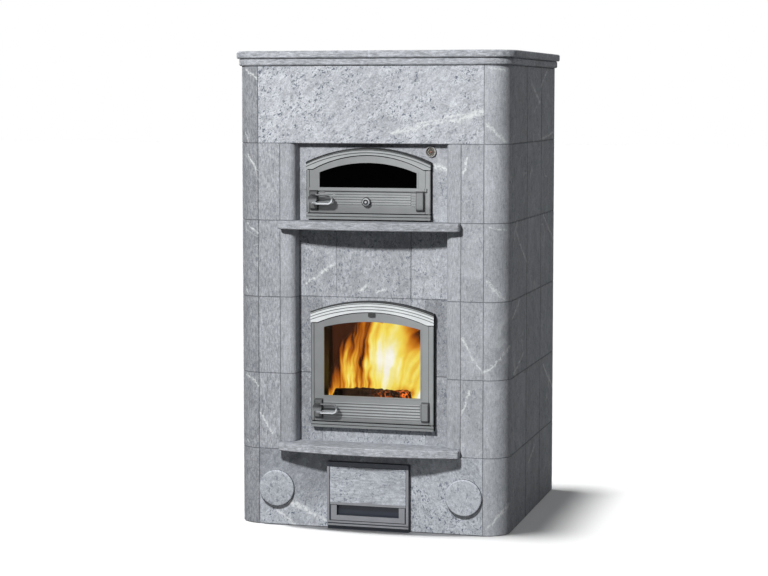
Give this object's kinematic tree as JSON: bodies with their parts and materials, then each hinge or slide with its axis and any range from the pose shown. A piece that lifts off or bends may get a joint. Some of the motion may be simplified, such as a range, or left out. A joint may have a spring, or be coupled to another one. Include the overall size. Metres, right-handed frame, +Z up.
{
  "type": "masonry heater",
  "caption": "Tall soapstone masonry heater with rounded corners, an arched bake-oven door above an arched firebox door, bowed shelves, an ash drawer and round soot covers.",
  "frame": {"origin": "middle of the stone shell's footprint, on the floor", "axes": "+Z up, front with the doors towards -Y, +X to the right as seen from the front"},
  "size_m": [1.086, 1.017, 1.794],
  "materials": {
    "soapstone": "honed soapstone, mottled",
    "core_stone": "sawn soapstone",
    "cast_iron": "raw casting",
    "door_paint": "heat-proof grey-green paint on cast iron",
    "glass": "clear",
    "steel": "plain",
    "rope": "woven glass-fibre cord",
    "bronze": "dull bronze",
    "needle_red": "painted"
  },
  "bodies": {
    "heater": {"corner_stones_left": "soapstone", "corner_stones_right": "soapstone", "side_stones_left": "soapstone", "side_stones_right": "soapstone", "rear_stones": "soapstone", "rear_outlet_stone": "soapstone", "front_stones_left": "soapstone", "front_stones_right": "soapstone", "pilaster_stones_left": "soapstone", "pilaster_stones_right": "soapstone", "base_stone_left": "soapstone", "base_stone_right": "soapstone", "ash_lintel_stone": "soapstone", "top_lintel_stone": "soapstone", "firebox_jamb_stones": "soapstone", "firebox_lintel_stone": "soapstone", "firebox_sill_stone": "soapstone", "panel_stones": "soapstone", "oven_surround_stone": "soapstone", "lower_shelf": "soapstone", "upper_shelf": "soapstone", "cornice_lower_slab": "soapstone", "cornice_upper_slab": "soapstone", "base_slab": "core_stone", "plinth_blocks": "core_stone", "firebox_floor_stones": "core_stone", "core_side_walls": "core_stone", "core_back_walls": "core_stone", "throat_slab": "core_stone", "oven_floor_slab": "core_stone", "oven_ceiling_slab": "core_stone", "cap_bearers": "core_stone", "cap_slab": "core_stone", "grate": "cast_iron", "flue_collar": "cast_iron", "oven_door_frame": "door_paint", "oven_hinge_pins": "steel", "firebox_door_frame": "door_paint", "firebox_hinge_pins": "steel", "thermometer_case": "bronze", "thermometer_lens": "glass", "ash_frame": "door_paint", "ash_drawer_runners": "steel"},
    "oven_door": {"oven_door_leaf": "door_paint", "oven_door_glass": "glass", "oven_glass_retainer": "steel", "oven_door_rope": "rope"},
    "oven_handle": {"oven_handle": "door_paint"},
    "oven_air_knob": {"oven_air_knob": "door_paint"},
    "firebox_door": {"firebox_door_leaf": "door_paint", "firebox_door_glass": "glass", "firebox_glass_retainer": "steel", "firebox_door_rope": "rope"},
    "firebox_handle": {"firebox_handle": "door_paint"},
    "ash_drawer": {"ash_drawer": "door_paint", "ash_drawer_stone": "soapstone"},
    "air_slide": {"air_slide": "door_paint"},
    "soot_cover_left": {"soot_cover_left": "soapstone"},
    "soot_cover_right": {"soot_cover_right": "soapstone"},
    "thermometer_needle": {"thermometer_needle": "needle_red"}
  },
  "joints": [
    {"name": "oven_door_swing", "type": "hinge", "parent": "heater", "child": "oven_door", "pos_m": [0.217, -0.427, 1.27], "axis": [0, 0, 1], "range_deg": [0, 110]},
    {"name": "oven_handle_lift", "type": "hinge", "parent": "oven_door", "child": "oven_handle", "pos_m": [-0.225, -0.45, 1.242], "axis": [0, -1, 0], "range_deg": [0, 50]},
    {"name": "oven_air_knob_turn", "type": "hinge", "parent": "oven_door", "child": "oven_air_knob", "pos_m": [-0.019, -0.44, 1.232], "axis": [0, -1, 0], "range_deg": [0, 90]},
    {"name": "firebox_door_swing", "type": "hinge", "parent": "heater", "child": "firebox_door", "pos_m": [0.2305, -0.427, 0.6], "axis": [0, 0, 1], "range_deg": [0, 110]},
    {"name": "firebox_handle_lift", "type": "hinge", "parent": "firebox_door", "child": "firebox_handle", "pos_m": [-0.2085, -0.45, 0.453], "axis": [0, -1, 0], "range_deg": [0, 50]},
    {"name": "ash_drawer_slide", "type": "slide", "parent": "heater", "child": "ash_drawer", "axis": [0, -1, 0], "range_m": [0, 0.3]},
    {"name": "air_slide_pull", "type": "slide", "parent": "heater", "child": "air_slide", "axis": [0, -1, 0], "range_m": [0, 0.04]},
    {"name": "soot_cover_left_pull", "type": "slide", "parent": "heater", "child": "soot_cover_left", "axis": [0, -1, 0], "range_m": [0, 0.12]},
    {"name": "soot_cover_right_pull", "type": "slide", "parent": "heater", "child": "soot_cover_right", "axis": [0, -1, 0], "range_m": [0, 0.12]},
    {"name": "thermometer_needle_turn", "type": "hinge", "parent": "heater", "child": "thermometer_needle", "pos_m": [0.222, -0.413, 1.42], "axis": [0, -1, 0], "range_deg": [-60, 200]}
  ]
}
